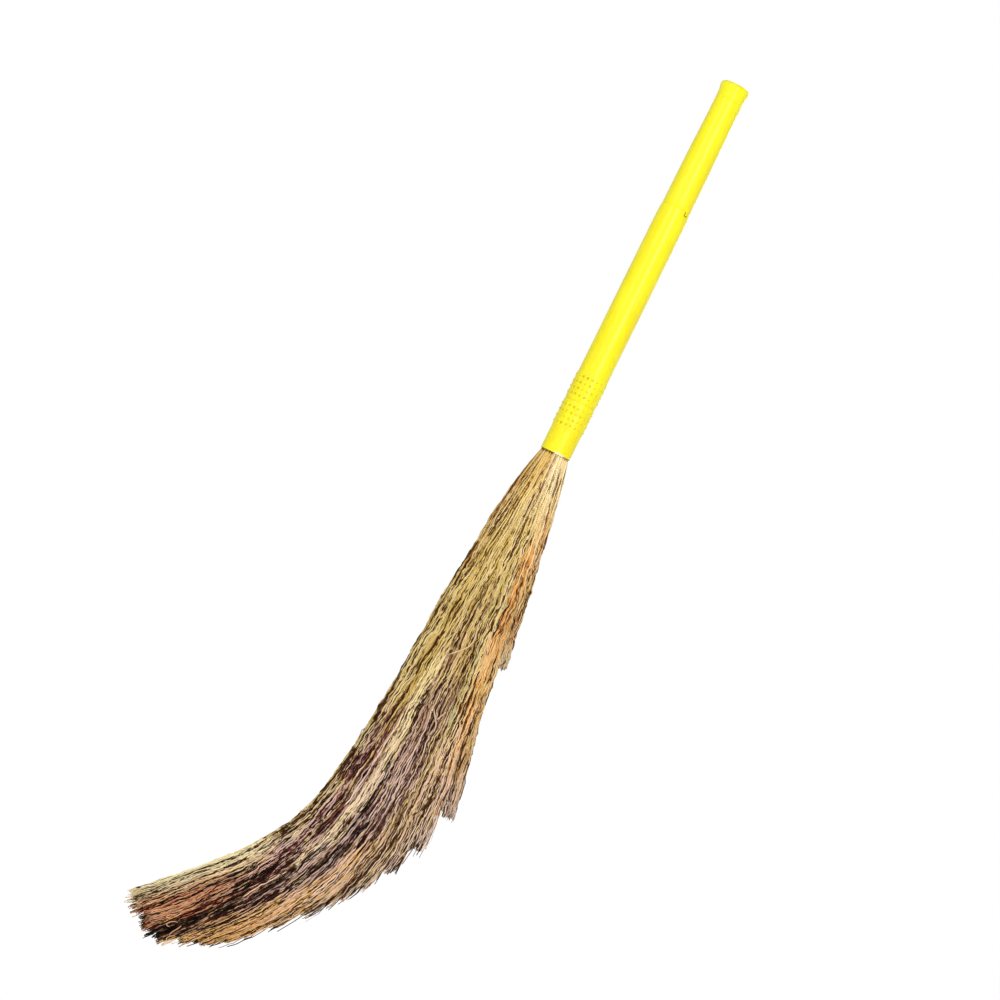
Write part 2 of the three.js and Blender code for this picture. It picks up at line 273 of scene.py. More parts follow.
class Finish:
    """A material with short ways to wire up its nodes."""

    def __init__(self, name):
        self.material = bpy.data.materials.new(name)
        self.material.use_nodes = True
        self.nodes = self.material.node_tree.nodes
        self.links = self.material.node_tree.links
        self.shader = self.nodes["Principled BSDF"]

    def feed(self, socket, value):
        if isinstance(value, bpy.types.NodeSocket):
            self.links.new(value, socket)
        else:
            socket.default_value = value

    def attribute(self, name):
        node = self.nodes.new("ShaderNodeAttribute")
        node.attribute_name = name
        return node.outputs["Fac"]

    def sum(self, operation, first, second=0.0, third=0.0):
        node = self.nodes.new("ShaderNodeMath")
        node.operation = operation
        for socket, value in zip(node.inputs, (first, second, third)):
            self.feed(socket, value)
        return node.outputs[0]

    def times(self, product, *values):
        for value in values:
            product = self.sum("MULTIPLY", product, value)
        return product

    def apart(self, first, second):
        return self.sum("ABSOLUTE", self.sum("SUBTRACT", first, second))

    def length(self, first, second):
        return self.sum("SQRT", self.sum("ADD", self.times(first, first), self.times(second, second)))

    def around(self, share, middle, amount, value):
        """The value, with the amount added for each whole that the share lies over its middle."""
        return self.sum("MULTIPLY_ADD", self.sum("SUBTRACT", share, middle), amount, value)

    def ramp(self, value, low, high, bottom=0.0, top=1.0, kind="SMOOTHSTEP"):
        node = self.nodes.new("ShaderNodeMapRange")
        node.interpolation_type = kind
        for socket, number in zip(node.inputs, (value, low, high, bottom, top)):
            self.feed(socket, number)
        return node.outputs[0]

    def join(self, x, y, z):
        node = self.nodes.new("ShaderNodeCombineXYZ")
        for socket, value in zip(node.inputs, (x, y, z)):
            self.feed(socket, value)
        return node.outputs[0]

    def stretch(self, vector, scale):
        node = self.nodes.new("ShaderNodeMapping")
        self.feed(node.inputs["Vector"], vector)
        node.inputs["Scale"].default_value = scale
        return node.outputs[0]

    def noise(self, vector, scale, detail=2.0, roughness=0.5):
        node = self.nodes.new("ShaderNodeTexNoise")
        self.feed(node.inputs["Vector"], vector)
        node.inputs["Scale"].default_value = scale
        node.inputs["Detail"].default_value = detail
        node.inputs["Roughness"].default_value = roughness
        return node.outputs["Fac"]

    def mix(self, share, first, second, kind="MIX"):
        node = self.nodes.new("ShaderNodeMix")
        node.data_type = "RGBA"
        node.blend_type = kind
        self.feed(node.inputs[0], share)
        self.feed(node.inputs[6], first)
        self.feed(node.inputs[7], second)
        return node.outputs[2]

    def bump(self, height, strength, distance):
        node = self.nodes.new("ShaderNodeBump")
        node.inputs["Strength"].default_value = strength
        node.inputs["Distance"].default_value = distance
        self.feed(node.inputs["Height"], height)
        self.links.new(node.outputs[0], self.shader.inputs["Normal"])

    def set_values(self, values):
        for name, value in values.items():
            self.shader.inputs[name].default_value = value

    def place(self):
        return self.nodes.new("ShaderNodeTexCoord").outputs["Object"]


def yellow_plastic():
    """Lemon-yellow moulded plastic: faint flow marks, painted shade round the nubs and in the notch, darker
    in the groove, soft gloss.
    """
    finish = Finish("yellow_plastic")
    place = finish.place()
    split = finish.nodes.new("ShaderNodeSeparateXYZ")
    finish.links.new(place, split.inputs[0])
    x, y, height = split.outputs
    radius = finish.length(x, y)
    off_groove = finish.sum("ABSOLUTE", height)

    # Clouds, flow marks along the handle, specks, and a dull bloom where a hand holds it
    cloud = finish.noise(finish.stretch(place, (1, 1, 0.25)), scale=60, detail=3)
    colour = finish.mix(finish.ramp(cloud, 0.35, 0.7), shade(246, 229, 4), shade(250, 241, 18))
    flow = finish.noise(finish.stretch(place, (1, 1, 0.06)), scale=420)
    colour = finish.mix(finish.ramp(flow, 0.5, 0.85, 0, 0.22), colour, shade(254, 250, 110))
    specks = finish.noise(place, scale=900, detail=1)
    colour = finish.mix(finish.ramp(specks, 0.7, 0.8, 0, 0.25), colour, shade(206, 176, 20))
    bloom = finish.ramp(finish.noise(place, scale=130, detail=4), 0.5, 0.72)
    rubbed = finish.times(finish.ramp(off_groove, 0.075, 0.02), bloom)
    colour = finish.mix(finish.times(rubbed, 0.28), colour, shade(226, 204, 24))

    # Painted shade round the foot of each nub, more on the left away from the light, and not in the groove
    # nor beyond the bands
    turn = finish.sum("SUBTRACT", finish.sum("ARCTAN2", y, x), NUB_TURN)
    beside_nub = finish.times(finish.sum("PINGPONG", turn, NUB_STEP / 2), radius)
    over_nub = finish.sum("PINGPONG", height, NUB_PITCH / 2)
    foot = finish.ramp(finish.apart(finish.length(beside_nub, over_nub), 0.0009), 0.0011, 0.0001)
    past_groove = finish.ramp(off_groove, 0.0045, 0.005)
    before_end = finish.ramp(off_groove, BAND_HALF_HEIGHT + 0.0005, BAND_HALF_HEIGHT - 0.0005)
    patchy = finish.ramp(finish.noise(place, scale=150), 0.38, 0.62, 0.22, 0.85)
    more_left = finish.ramp(x, 0.012, -0.002, 0.4, 1)
    painted_shade_and_dark_lines = finish.times(foot, past_groove, before_end, patchy, more_left)

    # Darker in the groove and at the rim, and painted shade in the open side of the notch
    in_groove = finish.ramp(off_groove, 0.0012, 0.0005, 0, 0.2)
    in_notch = finish.ramp(finish.apart(height, RIM - 0.0029), 0.0031, 0.0028)
    recessed = finish.ramp(radius, 0.0163, 0.016)
    at_rim = finish.ramp(finish.apart(height, RIM), 0.0004, 0.0001, 0, 0.1)
    for other in (in_groove, finish.times(in_notch, recessed), at_rim):
        painted_shade_and_dark_lines = finish.sum("MAXIMUM", painted_shade_and_dark_lines, other)
    # Painted shade at the nubs and the notch, and the darker groove and rim, in dark olive-yellow
    colour = finish.mix(painted_shade_and_dark_lines, colour, shade(184, 166, 14))

    # The mouth's edge is painted dark as the shadow of its gap to the grass, and has a pale patch in the
    # middle of the front
    mouth_gap_shadow = finish.ramp(height, MOUTH + 0.0014, MOUTH + 0.0003, 0, 0.9)
    colour = finish.mix(mouth_gap_shadow, colour, shade(88, 56, 18))
    pale_patch = finish.ramp(height, MOUTH + 0.003, MOUTH + 0.002)
    middle = finish.ramp(finish.apart(x, 0.004), 0.006, 0.0045)
    front = finish.ramp(y, -0.01, -0.012)
    outside = finish.ramp(radius, 0.0166, 0.0168)
    colour = finish.mix(finish.times(pale_patch, middle, front, outside), colour, shade(240, 226, 186))
    finish.feed(finish.shader.inputs["Base Color"], colour)

    rough = finish.ramp(finish.noise(place, scale=240, detail=4), 0.3, 0.75, 0.3, 0.44)
    finish.feed(finish.shader.inputs["Roughness"], finish.sum("MULTIPLY_ADD", rubbed, 0.12, rough))
    finish.set_values(
        {
            "IOR": 1.49,
            "Specular IOR Level": 0.32,
            "Coat Weight": 0.05,
            "Coat Roughness": 0.28,
            "Subsurface Weight": 0.04,
            "Subsurface Radius": (0.004, 0.003, 0.001),
        }
    )
    waves = finish.noise(finish.stretch(place, (1, 1, 0.3)), scale=90)
    grain = finish.noise(place, scale=1500)
    finish.bump(finish.sum("MULTIPLY_ADD", grain, 0.12, waves), strength=0.25, distance=0.0008)
    return finish.material


def drawn_wire():
    """Galvanised binding wire: dull zinc with drawing marks and a little rust."""
    finish = Finish("drawn_wire")
    place = finish.place()
    spots = finish.ramp(finish.noise(place, scale=700, detail=4), 0.52, 0.68)
    zinc = finish.mix(finish.noise(place, scale=2600), shade(150, 150, 148), shade(196, 197, 196))
    finish.feed(finish.shader.inputs["Base Color"], finish.mix(spots, zinc, shade(122, 84, 54)))
    finish.feed(finish.shader.inputs["Roughness"], finish.ramp(spots, 0, 1, 0.38, 0.72))
    finish.set_values({"Metallic": 0.9})
    marks = finish.noise(finish.stretch(place, (1, 1, 8)), scale=1800)
    finish.bump(marks, strength=0.3, distance=0.0001)
    return finish.material


# Gaps between hairs are painted dark as their shadow, and so many turns of a hair's hue pick the odd dark
# and pale hairs
GAP_SHADOW = shade(40, 26, 14)
STRAY_TURNS = 41.7

# How softly streaks, gaps and lighter places begin and end along the head, and at their sides
STREAK_BLUR = 0.02
GAP_BLUR = 0.004
LIFT_BLUR = 0.03
OUTER_EDGE = 1.2
INNER_EDGE = 0.75

# Streaks of the head, where it is dyed or sun-faded, and painted shadow in the gaps where it is parted:
# where each runs (share across the head where it starts and where it ends), half its breadth, how far down
# it starts and ends, its colour and the share of the hairs that have it.
STREAKS = [
    (-0.55, -0.6, 0.6, -0.3, 0.055, shade(236, 196, 112), 0.8),
    (0.55, 0.5, 0.6, -0.3, 0.06, shade(252, 230, 178), 0.9),
    (0.8, 0.86, 0.3, 0.045, 0.15, shade(246, 210, 146), 0.75),
    (-0.96, -0.94, 0.2, 0.012, 0.12, shade(188, 136, 62), 0.7),
    (-0.02, 0.0, 0.3, 0.2, 0.36, shade(186, 140, 98), 0.5),
    (0.3, 0.42, 0.055, 0.09, 0.34, shade(206, 204, 152), 0.8),
    (0.56, 0.68, 0.15, 0.1, 0.38, shade(244, 168, 80), 0.75),
    (0.9, 0.95, 0.12, 0.06, 0.24, shade(226, 172, 110), 0.6),
    (-0.72, -0.7, 0.24, 0.34, 0.58, shade(140, 78, 74), 0.92),
    (-0.55, -0.45, 0.2, 0.54, 0.7, shade(120, 60, 50), 0.94),
    (-0.58, -0.28, 0.34, 0.64, 0.8, shade(182, 92, 56), 0.9),
    (0.07, -0.06, 0.27, 0.28, 0.5, shade(138, 92, 94), 0.86),
    (-0.08, -0.1, 0.24, 0.48, 0.67, shade(98, 54, 60), 0.95),
    (-0.1, -0.08, 0.26, 0.66, 0.8, shade(78, 38, 28), 0.96),
    (-0.35, -0.42, 0.12, 0.27, 0.54, shade(252, 232, 174), 0.94),
    (-0.42, -0.28, 0.055, 0.52, 0.66, shade(250, 222, 180), 0.85),
    (0.3, 0.12, 0.19, 0.46, 0.6, shade(252, 198, 108), 0.92),
    (0.12, 0.06, 0.2, 0.58, 0.8, shade(250, 202, 106), 0.92),
    (0.52, 0.58, 0.24, 0.34, 0.56, shade(238, 208, 150), 0.75),
    (-1.0, -1.0, 0.1, 0.28, 0.56, shade(228, 192, 112), 0.8),
    (-0.96, -0.92, 0.19, 0.55, 0.8, shade(255, 240, 196), 0.95),
    # Painted shadow in the gaps between parted hairs
    (0.66, 0.68, 0.05, 0.012, 0.045, GAP_SHADOW, 1.0),
    (-0.06, -0.02, 0.045, 0.058, 0.1, GAP_SHADOW, 1.0),
    (-0.42, -0.44, 0.025, 0.085, 0.1, GAP_SHADOW, 1.0),
    (0.73, 0.76, 0.03, 0.362, 0.39, GAP_SHADOW, 1.0),
    (-0.28, -0.2, 0.022, 0.38, 0.48, GAP_SHADOW, 0.9),
    (-0.58, -0.5, 0.022, 0.4, 0.5, GAP_SHADOW, 0.85),
    (0.02, -0.1, 0.022, 0.4, 0.54, GAP_SHADOW, 0.9),
    (-0.66, -0.7, 0.02, 0.62, 0.7, GAP_SHADOW, 0.9),
    (-0.36, -0.22, 0.022, 0.5, 0.64, GAP_SHADOW, 0.85),
    (-0.24, -0.27, 0.025, 0.63, 0.74, GAP_SHADOW, 0.95),
    (-0.02, -0.14, 0.022, 0.64, 0.73, GAP_SHADOW, 0.95),
    (-0.44, -0.5, 0.02, 0.6, 0.74, GAP_SHADOW, 0.85),
    (0.24, 0.34, 0.015, 0.13, 0.27, GAP_SHADOW, 0.9),
]

# Places where the hairs are lighter or darker than elsewhere, in the same way, with how much
LIFTS = [
    (0.75, 0.8, 0.42, -0.3, 0.12, 0.2),
    (-0.85, -0.85, 0.25, -0.3, 0.1, 0.06),
    (-0.92, -0.92, 0.14, 0.03, 0.2, 0.16),
    (-0.49, -0.46, 0.13, 0.64, 0.8, 0.22),
    (0.15, 0.08, 0.2, 0.63, 0.8, -0.24),
    (-0.33, -0.33, 0.08, 0.69, 0.8, 0.24),
    (-0.95, -0.92, 0.22, 0.54, 0.8, 0.7),
    (0.26, 0.08, 0.2, 0.455, 0.8, 0.38),
    (-0.28, -0.26, 0.16, 0.55, 0.8, -0.5),
    (-0.5, -0.46, 0.12, 0.51, 0.6, -0.25),
    (-0.12, -0.12, 0.25, 0.2, 0.29, 0.16),
    (0.86, 0.95, 0.24, 0.3, 0.43, 0.24),
    (-0.76, -0.76, 0.12, 0.46, 0.52, -0.25),
    (-0.1, -0.1, 0.3, -0.3, 0.05, -0.16),
    (-0.75, -0.75, 0.1, 0.2, 0.28, 0.14),
    (0.25, 0.25, 0.1, 0.2, 0.29, -0.18),
    (0.86, 0.86, 0.16, 0.2, 0.28, 0.26),
    (0.03, -0.03, 0.12, 0.43, 0.51, -0.35),
]


def dry_grass(name, base):
    """Dried grass: streaks along the head with painted shadow in its gaps, each hair its own tone, kinks
    with painted highlight and shade, dark joints, painted shade deep inside and under the mouth, and
    bleached ends.
    """
    finish = Finish(name)
    across = finish.attribute("across")
    place = finish.attribute("place")
    along = finish.attribute("along")
    tone = finish.attribute("tone")
    hue = finish.attribute("hue")
    from_end = finish.attribute("from_end")
    depth = finish.attribute("depth")

    def in_streak(share, reached, blur, start_share, end_share, breadth, start, end):
        """1 inside a streak and 0 outside it, with soft edges."""
        run = finish.ramp(along, start, end, start_share, end_share, "LINEAR")
        inside = finish.ramp(finish.apart(share, run), breadth * OUTER_EDGE, breadth * INNER_EDGE)
        begun = finish.ramp(reached, start - blur, start + blur)
        going = finish.ramp(reached, end + blur, end - blur)
        return finish.times(inside, begun, going)

    # Streaks begin and end a little sooner or later in each hair, and gaps don't
    dyed_from = finish.around(hue, 0.5, 0.07, along)
    colour = base
    for number, (*where, dye, strength) in enumerate(STREAKS):
        lie = (place, along, GAP_BLUR) if dye is GAP_SHADOW else (across, dyed_from, STREAK_BLUR)
        takes = finish.sum("FRACT", finish.sum("MULTIPLY_ADD", hue, 17.3, 0.37 * number))
        taken = finish.ramp(takes, strength + 0.03, strength - 0.03)
        colour = finish.mix(finish.times(in_streak(*lie, *where), taken), colour, dye)

    # Single hairs that differ from their neighbours
    for low, high, share, dye in (
        (0.9, 0.91, 0.5, shade(222, 190, 124)),
        (0.95, 0.96, 0.6, shade(238, 208, 178)),
        (0.07, 0.05, 0.6, shade(140, 92, 44)),
    ):
        colour = finish.mix(finish.ramp(hue, low, high, 0, share), colour, dye)

    # Ends of the right-hand tufts, bleached
    bleached = finish.times(finish.ramp(from_end, 0.034, 0.004, 0, 0.5), finish.ramp(across, 0.35, 0.6))
    colour = finish.mix(bleached, colour, shade(222, 210, 200))

    # Light and dark stretches along each hair: painted highlight and shade at its kinks, and darker joints,
    # stronger in the loose lower half
    run = finish.join(finish.times(tone, 91.0), finish.times(hue, 57.0), along)
    kinks = finish.noise(finish.stretch(run, (1, 1, 150)), scale=1, detail=2, roughness=0.6)
    patches = finish.noise(finish.stretch(run, (1, 1, 26)), scale=1, detail=1)
    light = finish.around(kinks, 0.5, 0.8, tone)
    light = finish.around(patches, 0.5, finish.ramp(along, 0.2, 0.42, 0.6, 1.2), light)

    # Neighbouring hairs are lighter or darker together, and odd ones stand out
    beside = finish.join(finish.times(across, 20.0), finish.times(along, 7.0), 0.0)
    clumps = finish.noise(beside, scale=1, detail=1)
    light = finish.around(clumps, 0.5, finish.ramp(along, 0.36, 0.6, 0.1, 0.65), light)
    stray = finish.sum("FRACT", finish.times(hue, STRAY_TURNS))
    light = finish.sum("SUBTRACT", light, finish.ramp(stray, 0.18, 0.16, 0, 0.5))
    light = finish.sum("ADD", light, finish.ramp(stray, 0.86, 0.88, 0, 0.2))
    contrast = finish.times(
        finish.ramp(along, 0.22, 0.52, 2.0, 3.0),
        finish.ramp(along, 0.005, 0.06, 0.6, 1),
    )
    light = finish.around(light, 0.5, contrast, 0.5)

    # Painted shade deep in the loose part of the head and painted shadow under the mouth's sides, lighter or
    # darker in places
    deep_shade = finish.ramp(depth, 0.97, 0.6, 0, 0.8, "LINEAR")
    loose = finish.ramp(along, 0.04, 0.46, 0.3, 1, "LINEAR")
    light = finish.sum("SUBTRACT", light, finish.times(deep_shade, loose))
    for *where, lift in LIFTS:
        light = finish.sum("MULTIPLY_ADD", in_streak(across, along, LIFT_BLUR, *where), lift, light)
    mouth_shadow = finish.ramp(along, 0.0006, 0.0034, 0.4, 0)
    at_sides = finish.ramp(finish.apart(across, 0.2), 0.28, 0.42)
    light = finish.sum("SUBTRACT", light, finish.times(mouth_shadow, at_sides))

    # Dark hairs and painted shade are brown above and darker below, and pale hairs and painted highlights
    # pinkish below, but not on the left
    dark_and_shade_tint = finish.mix(finish.ramp(along, 0.0, 0.2), shade(132, 94, 50), shade(92, 62, 34))
    dark_and_shade_tint = finish.mix(finish.ramp(along, 0.42, 0.62), dark_and_shade_tint, shade(66, 38, 24))
    dark = finish.mix(1.0, colour, dark_and_shade_tint, "MULTIPLY")
    pale_and_highlight_tint = finish.mix(finish.ramp(along, 0.26, 0.4), shade(252, 228, 170), shade(255, 222, 204))
    pale_and_highlight_tint = finish.mix(finish.ramp(along, 0.54, 0.66), pale_and_highlight_tint, shade(252, 196, 150))
    pale_and_highlight_tint = finish.mix(finish.ramp(across, -0.72, -0.86), pale_and_highlight_tint, shade(255, 238, 184))
    pale = finish.mix(finish.ramp(along, 0.26, 0.4, 0.52, 0.66), colour, pale_and_highlight_tint)
    # Low light takes the dark tint and high light the pale tint: each hair's own tone, with painted shade
    # and highlight
    colour = finish.mix(finish.ramp(light, 0.0, 0.5), dark, colour)
    colour = finish.mix(finish.ramp(light, 0.5, 1.0), colour, pale)
    finish.feed(finish.shader.inputs["Base Color"], colour)
    finish.set_values({"Roughness": 0.66, "Specular IOR Level": 0.14})
    finish.bump(kinks, strength=0.5, distance=0.0006)
    return finish.material


# Handle


def clear_choice():
    bpy.ops.object.select_all(action="DESELECT")


def first_ring(name, radius, height, corners):
    clear_choice()
    bpy.ops.mesh.primitive_circle_add(vertices=corners, radius=radius, location=(0, 0, height))
    piece = bpy.context.object
    piece.name = name
    bpy.ops.object.transform_apply(location=True, rotation=True, scale=True)
    bpy.ops.object.mode_set(mode="EDIT")
    bpy.ops.mesh.select_mode(type="EDGE")
    bpy.ops.mesh.select_all(action="SELECT")
    return piece


def draw_wall(profile):
    """Extrudes the chosen ring through the profile's other radii and heights."""
    for (radius, height), (next_radius, next_height) in zip(profile, profile[1:]):
        bpy.ops.mesh.extrude_region_move(TRANSFORM_OT_translate={"value": (0, 0, next_height - height)})
        grow = next_radius / radius
        bpy.ops.transform.resize(value=(grow, grow, 1), center_override=(0, 0, 0))


def choose_open_rings():
    bpy.ops.mesh.select_mode(type="EDGE")
    bpy.ops.mesh.select_all(action="DESELECT")
    bpy.ops.mesh.select_non_manifold()


def close_wall():
    choose_open_rings()
    bpy.ops.mesh.bridge_edge_loops()


def face_outwards():
    bpy.ops.mesh.select_all(action="SELECT")
    bpy.ops.mesh.normals_make_consistent(inside=False)
    bpy.ops.object.mode_set(mode="OBJECT")


def apply_bevel(piece, width, segments):
    bevel = piece.modifiers.new("edges", "BEVEL")
    bevel.width = width
    bevel.segments = segments
    bevel.limit_method = "ANGLE"
    bevel.angle_limit = SHARP_ANGLE
    bpy.ops.object.modifier_apply(modifier=bevel.name)


def choose_faces(piece, wanted):
    bpy.ops.mesh.select_mode(type="FACE")
    bpy.ops.mesh.select_all(action="DESELECT")
    mesh = bmesh.from_edit_mesh(piece.data)
    for face in mesh.faces:
        if wanted(face.calc_center_median()):
            face.select = True
    mesh.select_flush_mode()
    bmesh.update_edit_mesh(piece.data)


def finish_piece(piece, material, slot, *nodes):
    piece.data.materials.clear()
    piece.data.materials.append(material)
    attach(piece, "root")
    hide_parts(*nodes)


def nub_heights():
    return [side * row * NUB_PITCH for row in range(1, NUB_ROWS + 1) for side in (-1, 1)]


def sleeve_profile():
    """Outside of the sleeve from its mouth up, over the rim and down the bore."""
    rings = [
        (BORE_RADIUS + 0.0003, MOUTH),
        (SLEEVE_RADIUS - 0.0005, MOUTH),
        (SLEEVE_RADIUS - 0.0001, MOUTH + 0.0003),
        (SLEEVE_RADIUS, MOUTH + 0.0009),
        (SLEEVE_RADIUS, MOUTH + 0.004),
        (SLEEVE_RADIUS, MOUTH + 0.016),
        (SLEEVE_RADIUS, -BAND_HALF_HEIGHT - BAND_CHAMFER - HOLD),
        (SLEEVE_RADIUS, -BAND_HALF_HEIGHT - BAND_CHAMFER),
        (BAND_RADIUS, -BAND_HALF_HEIGHT),
    ]
    band = []
    for height in sorted(nub_heights()):
        band += [(BAND_RADIUS, height - NUB_HALF_HEIGHT), (BAND_RADIUS, height + NUB_HALF_HEIGHT)]
    floor = BAND_RADIUS - GROOVE_DEPTH
    groove = [
        (BAND_RADIUS, -2.4 * GROOVE_HALF_WIDTH),
        (floor, -GROOVE_HALF_WIDTH),
        (floor, GROOVE_HALF_WIDTH),
        (BAND_RADIUS, 2.4 * GROOVE_HALF_WIDTH),
    ]
    half = len(band) // 2
    rings += band[:half] + groove + band[half:]
    rings += [
        (BAND_RADIUS, BAND_HALF_HEIGHT),
        (SLEEVE_RADIUS, BAND_HALF_HEIGHT + BAND_CHAMFER),
        (SLEEVE_RADIUS, BAND_HALF_HEIGHT + BAND_CHAMFER + HOLD),
    ]
    for share in np.linspace(0.12, 1, 8):
        low = BAND_HALF_HEIGHT
        rings.append((SLEEVE_RADIUS, low + (RIM - LIP_LENGTH - low) * share))
    rings += [
        (LIP_RADIUS + 0.0003, RIM - LIP_LENGTH / 2),
        (LIP_RADIUS, RIM - 0.0012),
        (LIP_RADIUS, RIM - 0.0003),
        (LIP_RADIUS - 0.0001, RIM),
        (BORE_RADIUS + 0.0001, RIM),
        (BORE_RADIUS, RIM - HOLD),
        (BORE_RADIUS, RIM - 0.03),
        (BORE_RADIUS, 0),
        (BORE_RADIUS, MOUTH + 0.001),
    ]
    # A subdivided ring draws in a little, so each ring starts a little wider
    wider = 6 / (4 + 2 * math.cos(2 * math.pi / SLEEVE_COLUMNS))
    return [(radius * wider, height) for radius, height in rings]


def model_grip_sleeve(plastic):
    profile = sleeve_profile()
    sleeve = first_ring("sleeve", *profile[0], SLEEVE_COLUMNS)
    draw_wall(profile)
    close_wall()
    bpy.ops.mesh.select_all(action="SELECT")
    bpy.ops.mesh.normals_make_consistent(inside=False)

    heights = nub_heights()

    def under_nub(centre):
        if Vector((centre.x, centre.y)).length < BORE_RADIUS + 0.0008:
            return False
        turn = (math.atan2(centre.y, centre.x) - NUB_TURN + NUB_STEP / 2) % NUB_STEP - NUB_STEP / 2
        in_row = any(abs(centre.z - height) < NUB_HALF_HEIGHT / 2 for height in heights)
        return in_row and abs(turn) < NUB_TOLERANCE

    choose_faces(sleeve, under_nub)
    for thickness, depth in NUB_INSETS:
        bpy.ops.mesh.inset(thickness=thickness, depth=depth, use_individual=True)
    bpy.ops.object.mode_set(mode="OBJECT")
    smooth = sleeve.modifiers.new("smooth", "SUBSURF")
    smooth.levels = smooth.render_levels = 2
    bpy.ops.object.modifier_apply(modifier=smooth.name)

    cut_notch(sleeve)
    bpy.ops.object.shade_smooth_by_angle(angle=SMOOTH_ANGLE)
    finish_piece(sleeve, plastic, "handle_plastic", "grip_sleeve")


def notch_block(name, width, depth, reach, bottom, rounding, aside=0.0):
    """A block with rounded edges in or near the notch, from its inner to its outer radius."""
    clear_choice()
    inner, outer = reach
    middle = (inner + outer) / 2
    angle = NOTCH_ANGLE + aside / middle
    place = (middle * math.cos(angle), middle * math.sin(angle), bottom + depth / 2)
    bpy.ops.mesh.primitive_cube_add(size=1, location=place, rotation=(0, 0, angle))
    block = bpy.context.object
    block.name = name
    block.scale = (outer - inner, width, depth)
    bpy.ops.object.transform_apply(location=True, rotation=True, scale=True)
    apply_bevel(block, rounding, 3)
    return block


def merge_solids(piece, other, operation):
    clear_choice()
    piece.select_set(True)
    bpy.context.view_layer.objects.active = piece
    change = piece.modifiers.new("joined", "BOOLEAN")
    change.operation = operation
    change.object = other
    change.solver = "EXACT"
    bpy.ops.object.modifier_apply(modifier=change.name)
    bpy.data.objects.remove(other)


def cut_notch(sleeve):
    bottom = RIM - NOTCH_DEPTH
    cutter = notch_block("cutter", NOTCH_WIDTH, NOTCH_DEPTH * 2, NOTCH_REACH, bottom, NOTCH_ROUNDING)
    merge_solids(sleeve, cutter, "DIFFERENCE")


def model_upper_tube(plastic):
    inner = SPIGOT_RADIUS - TUBE_WALL
    inner_top = TUBE_TOP_RADIUS - TUBE_WALL
    profile = [
        (inner, RIM - SPIGOT_LENGTH),
        (SPIGOT_RADIUS - SPIGOT_CHAMFER, RIM - SPIGOT_LENGTH),
        (SPIGOT_RADIUS, RIM - SPIGOT_LENGTH + SPIGOT_CHAMFER),
        (SPIGOT_RADIUS, RIM + SEAT_GAP),
        (TUBE_SHOULDER_RADIUS - 0.0001, RIM + SEAT_GAP),
        (TUBE_SHOULDER_RADIUS, RIM + 0.00015),
    ]
    # How much of its narrowing the tube has done at each share of its length
    shares = [0, 0.35, 0.55, 0.7, 0.82, 1]
    narrowing = [0, 0.14, 0.38, 0.74, 1, 1]
    for share in np.linspace(0.05, 0.985, TUBE_BANDS):
        around = np.interp([share - 0.06, share, share + 0.06], shares, narrowing)
        narrow = float(around @ [0.25, 0.5, 0.25])
        radius = TUBE_SHOULDER_RADIUS + (TUBE_TOP_RADIUS - TUBE_SHOULDER_RADIUS) * narrow
        profile.append((radius, RIM + (CAP_SEAT - RIM) * share))
    profile += [
        (TUBE_TOP_RADIUS, CAP_SEAT - 0.0002),
        (TUBE_TOP_RADIUS - 0.0001, CAP_SEAT - SEAT_GAP),
        (inner_top, CAP_SEAT - SEAT_GAP),
        (inner_top, RIM),
    ]
    tube = first_ring("tube", *profile[0], TUBE_CORNERS)
    draw_wall(profile)
    close_wall()
    face_outwards()
    # The key hangs from the shoulder, fills one side of the notch and leaves the other open
    hang = NOTCH_DEPTH - KEY_SHORTER
    key = notch_block("key", KEY_WIDTH, hang + KEY_ROOT, KEY_REACH, RIM - hang, KEY_ROUNDING, KEY_ASIDE)
    merge_solids(tube, key, "UNION")
    bpy.ops.object.shade_smooth_by_angle(angle=SMOOTH_ANGLE)
    finish_piece(tube, plastic, "handle_plastic", "upper_tube")


def model_end_cap(plastic):
    plug = TUBE_TOP_RADIUS - TUBE_WALL - PLUG_GAP
    inner = plug - CAP_WALL
    bottom = CAP_SEAT - PLUG_LENGTH
    profile = [
        (inner, TOP - CAP_ROOF),
        (inner, bottom + 0.0006),
        (inner + 0.0004, bottom),
        (plug - 0.0005, bottom),
        (plug, bottom + 0.0008),
        (plug, CAP_SEAT + SEAT_GAP),
        (TUBE_TOP_RADIUS - 0.0001, CAP_SEAT + SEAT_GAP),
        (TUBE_TOP_RADIUS, CAP_SEAT + 0.00015),
    ]
    profile += [(radius, CAP_SEAT + height) for radius, height in CAP_OUTLINE]
    cap = first_ring("cap", *profile[0], TUBE_CORNERS)
    draw_wall(profile)
    for _ in range(2):
        choose_open_rings()
        bpy.ops.mesh.edge_face_add()
    bpy.ops.mesh.select_all(action="DESELECT")
    face_outwards()
    bpy.ops.object.shade_smooth_by_angle(angle=SMOOTH_ANGLE)
    finish_piece(cap, plastic, "handle_plastic", "end_cap")


# Grass


def smooth_share(value, low, high):
    share = np.clip((value - low) / (high - low), 0, 1)
    return share * share * (3 - 2 * share)


def bend_angle(along):
    return (SWEEP + LEAN) * smooth_share(along, BEND_START, BEND_END) - LEAN


# The middle line of the head, stepped out once from the mouth
LINE_STEP = 0.001
LINE_LENGTH = 0.9
line_along = np.arange(0, LINE_LENGTH, LINE_STEP)
line_angle = bend_angle(line_along + LINE_STEP / 2)
line_x = -np.concatenate([[0], np.cumsum(np.sin(line_angle) * LINE_STEP)[:-1]])
line_z = MOUTH - np.concatenate([[0], np.cumsum(np.cos(line_angle) * LINE_STEP)[:-1]])

